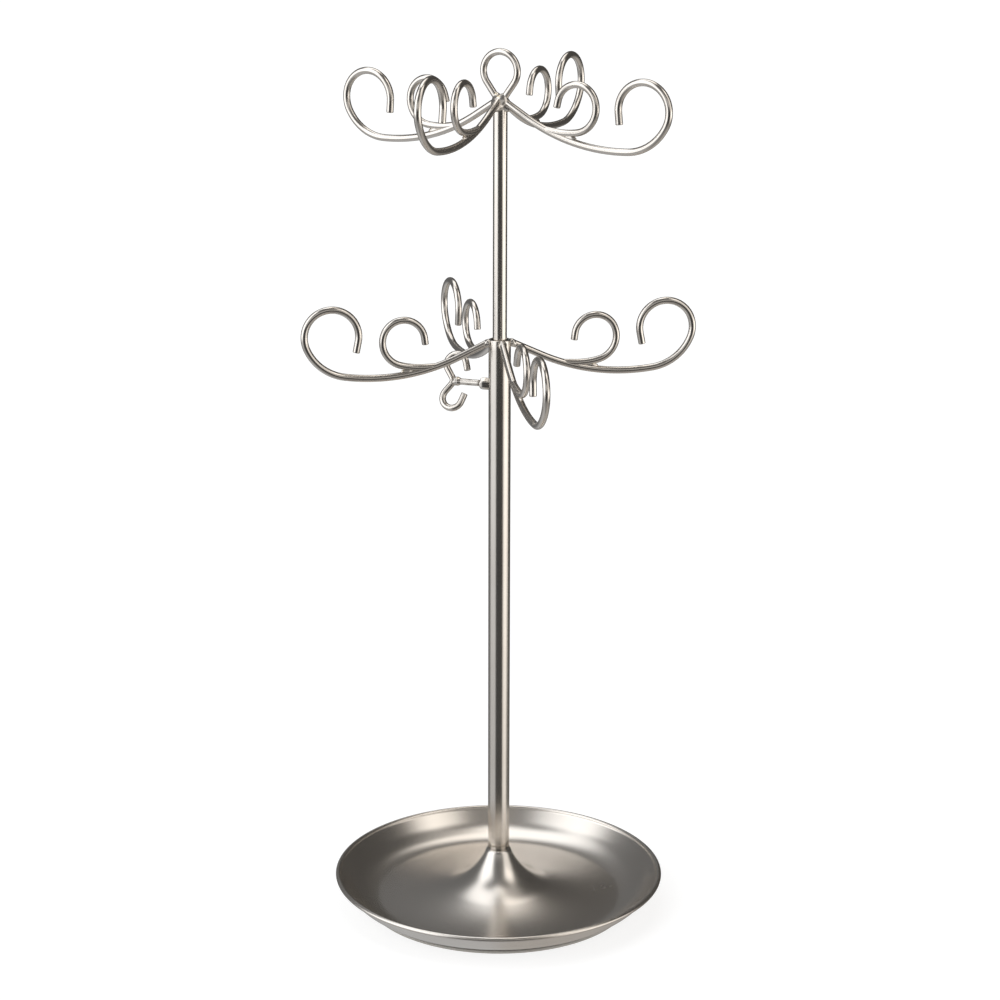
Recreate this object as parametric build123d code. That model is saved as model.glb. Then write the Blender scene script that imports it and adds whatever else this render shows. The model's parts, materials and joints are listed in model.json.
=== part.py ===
from build123d import *
from math import asin, atan2, cos, degrees, radians, sin, sqrt
import os

# A height-adjustable hook tree: a round pressed dish carries a tube, a rod slides and turns in
# the tube, and a thumbscrew clamps the rod. Four forked scroll hooks stand on the tube and four
# on the rod, with a lifting loop above them.
# Millimetres and degrees. +Z is up, and the origin is the centre of the foot, on the floor.
# Azimuths are measured about +Z from +X. Scroll outlines are drawn in a plane whose first
# coordinate is the distance out from the post and whose second is the height.

# ---- Stock ----
WIRE_RADIUS = 1.6
LOOP_WIRE_RADIUS = 1.5
HORN_WIRE_RADIUS = 1.5
ROD_RADIUS = 3.175
TUBE_RADIUS = 5.0
TUBE_BORE_RADIUS = 3.75
SHEET = 1.5

# ---- Heights on the post ----
PAD_HEIGHT = 1.4
SEAT_HEIGHT = 24.5
TUBE_TOP = 268.6
LOWER_TIER = 266.9
UPPER_TIER = 374.6
ROD_TOP = UPPER_TIER + 0.6
ROD_LENGTH = 203.0
SCREW_HEIGHT = 247.8

# ---- Dish: a pressed sheet with a central cone, a hollow floor, a sloping wall and a beaded rim ----
CONE_TOP_RADIUS = 5.6
CONE_SLOPE = 68.0
CONE_SWEEP_RADIUS = 31.0
FLOOR_SLOPE = 15.0
FLOOR_SWEEP_RADIUS = 112.9
WALL_BEND_RADIUS = 20.0
WALL_SLOPE = 46.0
WALL_LENGTH = 7.36
BEAD_RADIUS = 1.1
PAD_RADII = (44.0, 62.5)

# ---- Base fixing: an M5 screw up through the cone into a plug in the tube ----
SCREW_THREAD_RADIUS = 2.45
PLUG_BORE_RADIUS = 2.5
PLUG_HEIGHT = 14.0
FIXING_HOLE_RADIUS = 2.75
WASHER_RADIUS = 4.3
WASHER_THICKNESS = 1.0
HEAD_RADIUS = 4.0
HEAD_HEIGHT = 3.0
HEX_SOCKET_FLATS = 3.0
HEX_SOCKET_DEPTH = 1.8
WASHER_BORE_RADIUS = 2.6
WASHER_POCKET_RADIUS = 4.5
SCREW_REACH = 11.0

# ---- Hooks: (length, turn) for each run of the bent wire, outward from the post ----
HOOK_HEADING = -27.7
HOOK_RUNS = ((14.2, 0), (51.8, 32.9), (22.2, 58.5), (8.9, 39.8), (36.6, 174.5), (5.2, 0))
BRANCH_START = 22.8
BRANCH_LIFT = 7.2
BRANCH_RUNS = ((17.9, 26.3), (18.0, 95.3), (24.9, 152.4), (3.2, 0))
BRANCH_WIRE_RADIUS = 1.55
ROOT_OVERRUN = 2.6
LOWER_ROOT = 5.9
UPPER_ROOT = 0.6
CROTCH_ALONG = 38.4
CROTCH_RISE = 1.75
CROTCH_BEAD_RADIUS = 2.0
ROOT_BEAD_RADIUS = 2.35
ROOT_BEAD_OUT = 5.5
CORE_MARGIN = 4.0

# Azimuth and droop (positive up) of each hook, as the hand-bent wires really stand.
LOWER_HOOKS = {"right": (-4.6, 3.4), "back": (95.3, 1.2), "left": (178.8, 3.4), "front": (270.4, -4.5)}
UPPER_HOOKS = {"right": (-43.5, -2.0), "back": (50.6, 0.1), "left": (135.2, -4.0), "front": (233.6, 1.1)}

# ---- Top loop ----
LOOP_AZIMUTH = -40.5
LOOP_RADIUS = 8.3
LOOP_TOP = 394.9
LOOP_LEG_OFFSET = 1.9
LOOP_OVERRUN = 1.2
LOOP_TRIM_RADIUS = 12.0
CROWN_BEAD_RADIUS = 4.6
CROWN_BEAD_DROP = 2.2

# ---- Guide bush on the rod's lower end ----
SPIGOT_RADIUS = 2.5
SPIGOT_LENGTH = 13.6
BUSH_RADIUS = 3.69
BUSH_BORE_RADIUS = 2.55
BUSH_LENGTH = 12.0
BUSH_PLAY = 0.05
CLIP_THICKNESS = 0.8
CLIP_RADIUS = 3.4

# ---- Thumbscrew: distances along its axis are measured from the post's centre ----
SCREW_AZIMUTH = 147.4
NUT_FLATS = 5.0
NUT_FACE = 9.2
NUT_CHAMFER = 0.7
SHANK_RADIUS = 1.45
THREAD_CLEARANCE = 0.06
THREAD_PITCH = 0.5
THREAD_DEPTH = 0.27
THREAD_END = 10.4
TAPPED_REACH = 6.0
TIP_GAP = 0.05
TIP_RADIUS = 1.3
TIP_THICKNESS = 0.9
TIP_STEM_RADIUS = 0.6
TIP_STEM_LENGTH = 1.6
TIP_PLAY = 0.04
SHANK_START = ROD_RADIUS + TIP_GAP + TIP_THICKNESS + TIP_PLAY
HORN_CUSP = 22.3
HORN_SPLAY = 53.5
HORN_RUN = 6.2
HORN_BEND_RADIUS = 4.6
HORN_BEND = 198.0
HORN_TIP = 4.2
HORN_ROLL = 20.3
HORN_CUSP_BEND_RADIUS = 2.35
HORN_BEAD_RADIUS = 2.2


def bent_line(start, heading, runs):
    """Lay straight runs and tangent arcs end to end in the XY plane."""
    edges = []
    point = Vector(*start)
    for length, turn in runs:
        direction = Vector(1, 0, 0).rotate(Axis.Z, heading)
        if turn:
            edge = JernArc(point, direction, length / radians(abs(turn)), turn)
        else:
            edge = Line(point, point + direction * length)
        edges.append(edge)
        point = edge @ 1
        heading += turn
    return Wire(edges)


def wire_along(path, radius):
    """Round wire swept along a flat path."""
    section = Plane(origin=path @ 0, z_dir=path % 0) * Circle(radius)
    return sweep(section, path=path)


def upright(shape):
    """Stand a shape drawn in the XY plane up in the XZ plane."""
    return Plane.XZ * shape


def ring(outer, inner, bottom, height):
    """Tube or washer about the Z axis; an inner radius of 0 makes a plain disc."""
    body = Pos(0, 0, bottom) * extrude(Circle(outer), height)
    if inner:
        body -= Pos(0, 0, bottom) * extrude(Circle(inner), height)
    return body


def spun(points):
    """Solid of revolution about Z from (radius, height) points."""
    outline = Polyline(*points, close=True)
    return revolve(upright(make_face(outline)), Axis.Z)


# ---------------------------------------------------------------------------
# Base
# ---------------------------------------------------------------------------

def dish_base():
    """Pressed dish: flat seat, cone sweeping down to a hollow floor, sloping wall and rim bead."""

    def skin(start, below):
        """One face of the sheet, at a distance below the upper face; every bend opens upward."""
        cone_turn = CONE_SLOPE - FLOOR_SLOPE
        runs = (
            ((CONE_SWEEP_RADIUS + below) * radians(cone_turn), cone_turn),
            ((FLOOR_SWEEP_RADIUS + below) * radians(FLOOR_SLOPE), FLOOR_SLOPE),
            ((WALL_BEND_RADIUS + below) * radians(WALL_SLOPE), WALL_SLOPE),
            (WALL_LENGTH, 0),
        )
        return bent_line(start, -CONE_SLOPE, runs)

    slope = radians(CONE_SLOPE)
    top_start = (CONE_TOP_RADIUS, SEAT_HEIGHT)
    under_start = (CONE_TOP_RADIUS - SHEET * sin(slope), SEAT_HEIGHT - SHEET * cos(slope))
    under_height = SEAT_HEIGHT - SHEET
    top = skin(top_start, 0)
    under = skin(under_start, SHEET)
    edges = top.edges() + under.edges()
    edges += [Line(top @ 1, under @ 1), Line((0, SEAT_HEIGHT), top_start)]
    edges += [Line((0, SEAT_HEIGHT), (0, under_start[1])), Line((0, under_start[1]), under_start)]
    bead = Pos((top @ 1 + under @ 1) * 0.5) * Circle(BEAD_RADIUS)
    section = make_face(Wire(edges)) + bead
    dish = revolve(upright(section), Axis.Z)
    dish -= ring(WASHER_POCKET_RADIUS, 0, 0, under_height)
    return dish - ring(FIXING_HOLE_RADIUS, 0, 0, 2 * SEAT_HEIGHT)


def foot_pad(dish):
    """Foam rubber ring under the dish, moulded to the sheet above it."""
    return ring(PAD_RADII[1], PAD_RADII[0], 0, PAD_HEIGHT) - dish


def base_washer():
    top = SEAT_HEIGHT - SHEET
    return ring(WASHER_RADIUS, WASHER_BORE_RADIUS, top - WASHER_THICKNESS, WASHER_THICKNESS)


def base_screw():
    """Socket-head screw driven up from under the dish."""
    head_top = SEAT_HEIGHT - SHEET - WASHER_THICKNESS
    shank_top = SEAT_HEIGHT + SCREW_REACH
    head_bottom = head_top - HEAD_HEIGHT
    screw = ring(HEAD_RADIUS, 0, head_bottom, HEAD_HEIGHT)
    screw += ring(SCREW_THREAD_RADIUS, 0, head_top, shank_top - head_top)
    socket = RegularPolygon(HEX_SOCKET_FLATS / 2, 6, major_radius=False)
    screw -= Pos(0, 0, head_bottom) * extrude(socket, HEX_SOCKET_DEPTH)
    return screw


def tube_plug():
    """Threaded plug pressed into the tube's foot; the screw pulls the tube down on the dish."""
    return ring(TUBE_BORE_RADIUS, PLUG_BORE_RADIUS, SEAT_HEIGHT, PLUG_HEIGHT)


# ---------------------------------------------------------------------------
# Post
# ---------------------------------------------------------------------------

def along_screw(shape):
    """Place a shape built along +Z from the post's centre onto the thumbscrew's axis."""
    return Pos(0, 0, SCREW_HEIGHT) * Rot(0, 0, SCREW_AZIMUTH) * Rot(0, 90, 0) * shape


def lower_tube():
    tube = ring(TUBE_RADIUS, TUBE_BORE_RADIUS, SEAT_HEIGHT, TUBE_TOP - SEAT_HEIGHT)
    tapped = ring(SHANK_RADIUS + THREAD_CLEARANCE, 0, 0, TAPPED_REACH)
    return tube - along_screw(tapped)


def weld_nut():
    """Hexagon nut welded to the tube's side, its inner end coped to the tube."""
    blank = extrude(RegularPolygon(NUT_FLATS / 2, 6, major_radius=False), NUT_FACE)
    cone_reach = NUT_FLATS / 2 + NUT_FACE - NUT_CHAMFER
    corner_cone = spun(((0, 0), (cone_reach, 0), (0, cone_reach)))
    blank = blank & corner_cone
    blank -= ring(SHANK_RADIUS + THREAD_CLEARANCE, 0, 0, NUT_FACE)
    placed = along_screw(blank)
    return placed - ring(TUBE_RADIUS, 0, 0, TUBE_TOP)


def post_rod():
    """Rod with a turned spigot at its lower end for the guide bush."""
    bottom = ROD_TOP - ROD_LENGTH
    rod = ring(SPIGOT_RADIUS, 0, bottom, SPIGOT_LENGTH)
    rod += ring(ROD_RADIUS, 0, bottom + SPIGOT_LENGTH, ROD_LENGTH - SPIGOT_LENGTH)
    return rod


def guide_bush():
    top = ROD_TOP - ROD_LENGTH + SPIGOT_LENGTH - BUSH_PLAY
    return ring(BUSH_RADIUS, BUSH_BORE_RADIUS, top - BUSH_LENGTH, BUSH_LENGTH)


def bush_clip():
    """Push-on washer that keeps the bush on the spigot."""
    bush_bottom = ROD_TOP - ROD_LENGTH + SPIGOT_LENGTH - BUSH_PLAY - BUSH_LENGTH
    clip_top = bush_bottom - BUSH_PLAY
    return ring(CLIP_RADIUS, SPIGOT_RADIUS, clip_top - CLIP_THICKNESS, CLIP_THICKNESS)


# ---------------------------------------------------------------------------
# Scroll hooks
# ---------------------------------------------------------------------------

def hook_master():
    """One forked hook, drawn with its root at the origin: main wire, branch and crotch bead."""
    inward = (-ROOT_OVERRUN * cos(radians(HOOK_HEADING)), -ROOT_OVERRUN * sin(radians(HOOK_HEADING)))
    main_path = bent_line(inward, HOOK_HEADING, ((ROOT_OVERRUN, 0),) + HOOK_RUNS)
    along = BRANCH_START + ROOT_OVERRUN
    start = main_path.position_at(along, position_mode=PositionMode.LENGTH)
    tangent = main_path.tangent_at(along, position_mode=PositionMode.LENGTH)
    heading = degrees(atan2(tangent.Y, tangent.X)) + BRANCH_LIFT
    branch_path = bent_line((start.X, start.Y), heading, BRANCH_RUNS)
    main = wire_along(main_path, WIRE_RADIUS)
    branch = wire_along(branch_path, BRANCH_WIRE_RADIUS) - main
    crotch = main_path.position_at(CROTCH_ALONG + ROOT_OVERRUN, position_mode=PositionMode.LENGTH)
    bead = Pos(crotch.X, crotch.Y + CROTCH_RISE, 0) * Sphere(CROTCH_BEAD_RADIUS) - main - branch
    return main, branch, bead


def placed_hook(shape, root, height, azimuth, droop):
    """Tip a shape of the master hook about its root, then carry it to its place on the post."""
    tipped = upright(Rot(0, 0, droop) * shape)
    return Rot(0, 0, azimuth) * Pos(root, 0, height) * tipped


def root_bead(azimuth, droop):
    """Brazing bead around the root of one lower hook."""
    height = LOWER_TIER
    wire = placed_hook(MASTER_MAIN, LOWER_ROOT, height, azimuth, droop)
    bead = Rot(0, 0, azimuth) * Pos(ROOT_BEAD_OUT, 0, height) * Sphere(ROOT_BEAD_RADIUS)
    bead -= ring(TUBE_RADIUS, 0, 0, height + 2 * ROOT_BEAD_RADIUS)
    return bead - wire


MASTER_MAIN, MASTER_BRANCH, MASTER_CROTCH = hook_master()


def tier(hooks, root, height, core_radius):
    """Main wires, branches and crotch beads of one tier, coped to the post's core."""
    core = ring(core_radius, 0, 0, height + CORE_MARGIN)
    mains = {}
    branches = {}
    beads = []
    for side, (azimuth, droop) in hooks.items():
        place = (root, height, azimuth, droop)
        mains[side] = placed_hook(MASTER_MAIN, *place) - core
        branches[side] = placed_hook(MASTER_BRANCH, *place)
        beads.append(placed_hook(MASTER_CROTCH, *place))
    return mains, branches, beads


def top_loop():
    """Teardrop lifting loop standing on the rod's end."""
    rise = LOOP_TOP - LOOP_RADIUS - ROD_TOP
    reach = sqrt(LOOP_LEG_OFFSET ** 2 + rise ** 2)
    lean = degrees(asin(LOOP_RADIUS / reach) - atan2(LOOP_LEG_OFFSET, rise))
    leg = sqrt(reach ** 2 - LOOP_RADIUS ** 2)
    crown = 180 + 2 * lean
    straight = (LOOP_OVERRUN + leg, 0)
    runs = (straight, (LOOP_RADIUS * radians(crown), -crown), straight)
    back_x = LOOP_OVERRUN * sin(radians(lean))
    back_y = LOOP_OVERRUN * cos(radians(lean))
    start = (-LOOP_LEG_OFFSET + back_x, ROD_TOP - back_y)
    wire = wire_along(bent_line(start, 90 + lean, runs), LOOP_WIRE_RADIUS)
    placed = Rot(0, 0, LOOP_AZIMUTH) * upright(wire)
    return placed - ring(LOOP_TRIM_RADIUS, 0, 0, ROD_TOP)


def crown_bead(mains, loop):
    """Weld metal that fills between the rod's end, the upper hooks and the loop."""
    bead = Pos(0, 0, UPPER_TIER - CROWN_BEAD_DROP) * Sphere(CROWN_BEAD_RADIUS)
    bead -= ring(ROD_RADIUS, 0, 0, ROD_TOP)
    for main in mains.values():
        bead -= main
    return bead - loop


# ---------------------------------------------------------------------------
# Thumbscrew
# ---------------------------------------------------------------------------

def screw_place(shape):
    """Put a shape drawn with x out along the screw and y up onto the screw's axis."""
    return Pos(0, 0, SCREW_HEIGHT) * Rot(0, 0, SCREW_AZIMUTH) * Rot(HORN_ROLL, 0, 0) * upright(shape)


def horn_wire():
    """Handle wire bent to a figure three: two hooks that meet in a cusp on the shank."""
    splay = radians(HORN_SPLAY)
    cut = HORN_CUSP_BEND_RADIUS * cos(splay) / sin(splay)
    tip_run = ((HORN_TIP, 0), (HORN_BEND_RADIUS * radians(HORN_BEND), HORN_BEND), (HORN_RUN - cut, 0))
    cusp_turn = 180 - 2 * HORN_SPLAY
    cusp_run = ((HORN_CUSP_BEND_RADIUS * radians(cusp_turn), -cusp_turn),)
    runs = tip_run + cusp_run + tuple(reversed(tip_run))
    heading = 180 - HORN_SPLAY - HORN_BEND
    trial = bent_line((0, 0), heading, runs)
    middle = trial.position_at(0.5)
    path = bent_line((HORN_CUSP - middle.X, -middle.Y), heading, runs)
    return wire_along(path, HORN_WIRE_RADIUS)


def screw_shank():
    """Threaded shank: ring grooves stand for the thread, and the end is drilled for the tip's stem."""
    points = [(0, SHANK_START)]
    at = SHANK_START
    while at + THREAD_PITCH < THREAD_END:
        points.append((SHANK_RADIUS - THREAD_DEPTH, at))
        points.append((SHANK_RADIUS, at + THREAD_PITCH / 2))
        at += THREAD_PITCH
    points.append((SHANK_RADIUS - THREAD_DEPTH, at))
    points.append((SHANK_RADIUS, at + THREAD_DEPTH))
    points.append((SHANK_RADIUS, HORN_CUSP))
    points.append((0, HORN_CUSP))
    shank = spun(points)
    shank -= ring(TIP_STEM_RADIUS + TIP_PLAY, 0, SHANK_START, TIP_STEM_LENGTH + TIP_PLAY)
    return along_screw(shank) - HORN


def horn_bead():
    """Weld where the shank meets the handle's cusp."""
    bead = screw_place(Pos(HORN_CUSP - HORN_WIRE_RADIUS, 0, 0) * Sphere(HORN_BEAD_RADIUS))
    return bead - HORN - SHANK


def pressure_tip():
    """Nylon tip that bears on the rod; its stem turns in the screw's end."""
    face = ROD_RADIUS + TIP_GAP
    tip = ring(TIP_RADIUS, 0, face, TIP_THICKNESS)
    tip += ring(TIP_STEM_RADIUS, 0, face + TIP_THICKNESS, TIP_STEM_LENGTH)
    return along_screw(tip)


HORN = screw_place(horn_wire())
SHANK = screw_shank()


# ---------------------------------------------------------------------------
# Assembly
# ---------------------------------------------------------------------------

def gathered(shapes):
    """One compound of the solids of several shapes."""
    return Compound(children=[solid for shape in shapes for solid in shape.solids()])


def build_nodes():
    dish = dish_base()
    nodes = {
        "dish_base": dish,
        "foot_pad": foot_pad(dish),
        "base_washer": base_washer(),
        "base_screw": base_screw(),
        "tube_plug": tube_plug(),
        "lower_tube": lower_tube(),
        "weld_nut": weld_nut(),
        "post_rod": post_rod(),
        "guide_bush": guide_bush(),
        "bush_clip": bush_clip(),
        "screw_shank": SHANK,
        "screw_horns": HORN,
        "horn_weld": horn_bead(),
        "pressure_tip": pressure_tip(),
    }
    lower = tier(LOWER_HOOKS, LOWER_ROOT, LOWER_TIER, TUBE_RADIUS)
    upper = tier(UPPER_HOOKS, UPPER_ROOT, UPPER_TIER, ROD_RADIUS)
    for level, (mains, branches, beads) in (("lower", lower), ("upper", upper)):
        for side in mains:
            nodes[f"{level}_hook_{side}"] = mains[side]
            nodes[f"{level}_branch_{side}"] = branches[side]
        nodes[f"{level}_crotch_welds"] = gathered(beads)
    roots = [root_bead(*place) for place in LOWER_HOOKS.values()]
    nodes["lower_root_welds"] = gathered(roots)
    nodes["top_loop"] = top_loop()
    nodes["crown_weld"] = crown_bead(upper[0], nodes["top_loop"])
    return nodes


os.makedirs("parts", exist_ok=True)
for name, shape in build_nodes().items():
    export_step(shape, f"parts/{name}.step")
    print(name, len(shape.solids()), round(shape.volume, 1))
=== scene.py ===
# %% [markdown]
# # A height-adjustable hook tree
# The real object is a small piece of wirework: a pressed dish, a steel tube screwed to it, a rod
# that slides in the tube, and eight forked scroll hooks brazed to the two ends of the post. All of
# it is satin nickel plated. The CAD model gives every place and size, and this lesson makes the
# surfaces that are seen: bent wire, turned parts, beads of weld metal and the plated finishes.

# %% The frame
import json
from math import asin, atan2, cos, degrees, hypot, pi, radians, sin, sqrt

import bmesh
import bpy
import numpy as np
from mathutils import Matrix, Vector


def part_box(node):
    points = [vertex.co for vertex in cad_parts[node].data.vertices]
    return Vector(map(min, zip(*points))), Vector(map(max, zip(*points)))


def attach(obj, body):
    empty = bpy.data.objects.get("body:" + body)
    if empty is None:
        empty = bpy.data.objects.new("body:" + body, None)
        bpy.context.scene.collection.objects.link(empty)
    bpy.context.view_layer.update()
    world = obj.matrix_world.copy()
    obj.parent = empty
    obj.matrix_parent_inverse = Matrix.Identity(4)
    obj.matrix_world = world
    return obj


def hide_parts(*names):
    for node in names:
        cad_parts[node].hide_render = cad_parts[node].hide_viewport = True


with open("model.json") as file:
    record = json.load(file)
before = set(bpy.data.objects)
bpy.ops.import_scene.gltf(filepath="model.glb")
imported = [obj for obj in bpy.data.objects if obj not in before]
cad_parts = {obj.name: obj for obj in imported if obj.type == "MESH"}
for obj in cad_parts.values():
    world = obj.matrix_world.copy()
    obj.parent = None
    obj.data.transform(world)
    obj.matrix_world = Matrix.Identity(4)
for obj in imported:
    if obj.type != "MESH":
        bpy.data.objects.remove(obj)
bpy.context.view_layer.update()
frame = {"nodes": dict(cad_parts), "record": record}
MM = 0.001

# %% [markdown]
# ## Shader maths as plain expressions
# A finish is a graph of nodes, and a graph is hard to read as a list of links. One class wraps an
# output socket, so that `a * b + 0.2` adds the Math nodes itself, and one method makes any other
# node from its type, its settings and the values of its sockets.

# %% Sockets that do arithmetic
class Wire:
    """An output socket; arithmetic on it adds Math nodes to the same graph."""

    def __init__(self, graph, socket):
        self.graph = graph
        self.socket = socket

    def maths(self, operation, *values):
        return self.graph.node("Math", {"operation": operation}, dict(enumerate(values)))

    def __add__(self, other):
        return self.maths("ADD", self, other)

    def __sub__(self, other):
        return self.maths("SUBTRACT", self, other)

    def __rsub__(self, other):
        return self.maths("SUBTRACT", other, self)

    def __mul__(self, other):
        return self.maths("MULTIPLY", self, other)

    def __truediv__(self, other):
        return self.maths("DIVIDE", self, other)

    def __abs__(self):
        return self.maths("ABSOLUTE", self)

    __radd__ = __add__
    __rmul__ = __mul__


class Graph:
    """A node tree under construction, for a material or for the world."""

    def __init__(self, owner):
        owner.use_nodes = True
        self.tree = owner.node_tree
        self.tree.nodes.clear()

    def node(self, kind, settings=None, values=None, output=0):
        """Add one ShaderNode: its settings first, then a value or a link for each socket."""
        made = self.tree.nodes.new("ShaderNode" + kind)
        for name, setting in (settings or {}).items():
            if name == "stops":
                self.set_stops(made.color_ramp, setting)
            else:
                setattr(made, name, setting)
        for name, value in (values or {}).items():
            if isinstance(value, Wire):
                self.tree.links.new(value.socket, made.inputs[name])
            else:
                made.inputs[name].default_value = value
        return Wire(self, made.outputs[output]) if made.outputs else None

    @staticmethod
    def set_stops(ramp, stops):
        """Fill a colour ramp from (position, grey or colour) pairs."""
        while len(ramp.elements) < len(stops):
            ramp.elements.new(0.5)
        for element, (position, colour) in zip(ramp.elements, stops):
            element.position = position
            element.color = colour if isinstance(colour, tuple) else (colour,) * 3 + (1,)

    def noise(self, vector, scale, detail=2.0, roughness=0.5):
        """Cloudy noise from 0 to 1, centred on 0.5."""
        values = {"Vector": vector, "Scale": scale, "Detail": detail, "Roughness": roughness}
        return self.node("TexNoise", {}, values)

    def smooth(self, value, low, high, to_low=0.0, to_high=1.0):
        """Smooth step: to_low below low, to_high above high."""
        values = {"Value": value, 1: low, 2: high, 3: to_low, 4: to_high}
        return self.node("MapRange", {"interpolation_type": "SMOOTHSTEP"}, values)

    def stretch(self, vector, scale):
        return self.node("VectorMath", {"operation": "MULTIPLY"}, {0: vector, 1: scale})

    def blend(self, factor, first, second):
        """Colour from first to second as factor goes from 0 to 1."""
        return self.node("Mix", {"data_type": "RGBA"}, {0: factor, 6: first, 7: second}, output=2)

    def bump(self, height, distance, strength=1.0, normal=None):
        values = {"Strength": strength, "Distance": distance, "Height": height}
        if normal:
            values["Normal"] = normal
        return self.node("Bump", {}, values)


print("shader helpers ready")

# %% [markdown]
# ## One builder for every surface
# Wire, tube, dish and weld are all the same kind of thing: a closed outline carried along a line.
# Each becomes a grid of points, rows along the line and columns around it. numpy works the whole
# grid out at once, which is quick and keeps each formula in one place. A row of zero radius becomes
# a single pole vertex, so the ends are closed and every piece is a watertight solid.

# %% From a grid of points to a mesh
def grid_faces(rows, columns):
    """Quads of a grid whose columns wrap round: corner (i, j), (i, j+1), (i+1, j+1), (i+1, j)."""
    index = np.arange(rows * columns).reshape(rows, columns)
    right = np.roll(index, -1, axis=1)
    quads = np.stack([index[:-1], right[:-1], right[1:], index[1:]], axis=-1)
    return quads.reshape(-1, 4)


def make_piece(name, points, stock=None, closed_rows=False):
    """Mesh from a (rows, columns, 3) grid in metres; stock is the same grid before bending.

    With closed_rows the last row joins the first, as on a ring. Otherwise the first and the last row
    are each a single place, and become one vertex.
    """
    rows, columns = points.shape[:2]
    faces = grid_faces(rows, columns)
    if closed_rows:
        last = np.arange((rows - 1) * columns, rows * columns)
        first = np.arange(columns)
        seam = np.stack([last, np.roll(last, -1), np.roll(first, -1), first], axis=-1)
        faces = np.concatenate([faces, seam])
    mesh = bpy.data.meshes.new(name)
    mesh.from_pydata(points.reshape(-1, 3), [], faces.tolist())
    if stock is not None:
        attribute = mesh.attributes.new("stock", "FLOAT_VECTOR", "POINT")
        attribute.data.foreach_set("vector", stock.astype(np.float32).ravel())
    piece = bpy.data.objects.new(name, mesh)
    bpy.context.scene.collection.objects.link(piece)
    if not closed_rows:
        weld_poles(mesh)
    mesh.polygons.foreach_set("use_smooth", np.ones(len(mesh.polygons), bool))
    mesh.update()
    return piece


def weld_poles(mesh):
    """Merge coincident vertices, point the faces outwards and drop empty faces."""
    work = bmesh.new()
    work.from_mesh(mesh)
    bmesh.ops.remove_doubles(work, verts=work.verts, dist=1e-6)
    bmesh.ops.dissolve_degenerate(work, edges=work.edges, dist=1e-7)
    bmesh.ops.recalc_face_normals(work, faces=work.faces)
    work.to_mesh(mesh)
    work.free()


def spun(outline, segments):
    """Grid of an outline spun about the post: point = (radius * cos a, radius * sin a, height)."""
    outline = np.asarray(outline, float)
    angle = np.linspace(0, 2 * pi, segments, endpoint=False)
    radius = outline[:, :1]
    height = np.broadcast_to(outline[:, 1:], (len(outline), segments))
    return np.stack([radius * np.cos(angle), radius * np.sin(angle), height], axis=-1)


def turned(name, outline, segments):
    """Hollow piece from a closed outline of (radius, height) points."""
    piece = make_piece(name, spun(outline, segments), closed_rows=True)
    weld_poles(piece.data)
    return piece


def turned_bar(name, outline, segments=64):
    """Solid piece from a half outline that starts and ends on the axis."""
    return make_piece(name, spun(outline, segments))


def finish_piece(piece, body, slot, replaces=()):
    """Say what the piece rides on, which finish it has and which CAD nodes it stands for."""
    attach(piece, body)
    if replaces:
        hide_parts(*replaces)
    piece.data.materials.clear()
    piece.data.materials.append(FINISHES[slot])
    print(f"{piece.name}: {len(piece.data.polygons)} faces on {body}")


print("surface builders ready")

# %% [markdown]
# ## Satin nickel
# Nickel plate over brushed steel is a warm grey mirror with fine scratches all one way. Drawn wire
# and tube carry them along their length, and a spun or polished dish carries them in circles. The
# mirror comes from full Metallic and a low Roughness. The scratches are noise, stretched many times
# longer than wide, in Roughness and in a very shallow Bump. Each wire keeps the place that every
# point had before bending in an attribute, so the scratches follow the bends.

# %% Nickel finishes
NICKEL = (0.70, 0.66, 0.61, 1)
NICKEL_WORN = (0.66, 0.615, 0.565, 1)


def metal_output(graph, values):
    """Close a graph with a fully metallic surface; values go straight to its sockets."""
    shader = graph.node("BsdfPrincipled", {}, {"Metallic": 1.0} | values)
    graph.node("OutputMaterial", {}, {"Surface": shader})


def nickel_wire():
    """Drawn and plated wire: lengthwise scratches, faint clouds of wear and rare tiny pits."""
    material = bpy.data.materials.new("satin_wire")
    graph = Graph(material)
    along = graph.node("Attribute", {"attribute_name": "stock"}, output=1)
    scratches = graph.noise(graph.stretch(along, (3200, 3200, 60)), 1.0, 3.0, 0.6)
    clouds = graph.noise(along, 110, 3.0)
    pits = graph.smooth(graph.noise(along, 2100, 1.0), 0.72, 0.80)
    colour = graph.blend(graph.smooth(clouds, 0.3, 0.75), NICKEL, NICKEL_WORN)
    rough = 0.14 + scratches * 0.03 + clouds * 0.04 + pits * 0.03
    normal = graph.bump(scratches * 0.5 - pits * 0.6, 0.0000006)
    metal_output(graph, {"Base Color": colour, "Roughness": rough, "Normal": normal})
    return material


def nickel_post():
    """Plated tube and bar: long scratches along the post, read from the object's own height."""
    material = bpy.data.materials.new("satin_post")
    graph = Graph(material)
    place = graph.node("TexCoord", output="Object")
    scratches = graph.noise(graph.stretch(place, (3000, 3000, 30)), 1.0, 3.0, 0.6)
    bands = graph.noise(graph.stretch(place, (260, 260, 16)), 1.0, 2.0)
    clouds = graph.noise(place, 50, 3.0)
    colour = graph.blend(graph.smooth(clouds, 0.3, 0.75), NICKEL, NICKEL_WORN)
    rough = 0.18 + scratches * 0.03 + bands * 0.03
    normal = graph.bump(scratches * 0.6 + bands * 0.4, 0.0000006)
    metal_output(graph, {"Base Color": colour, "Roughness": rough, "Normal": normal})
    return material


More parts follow.
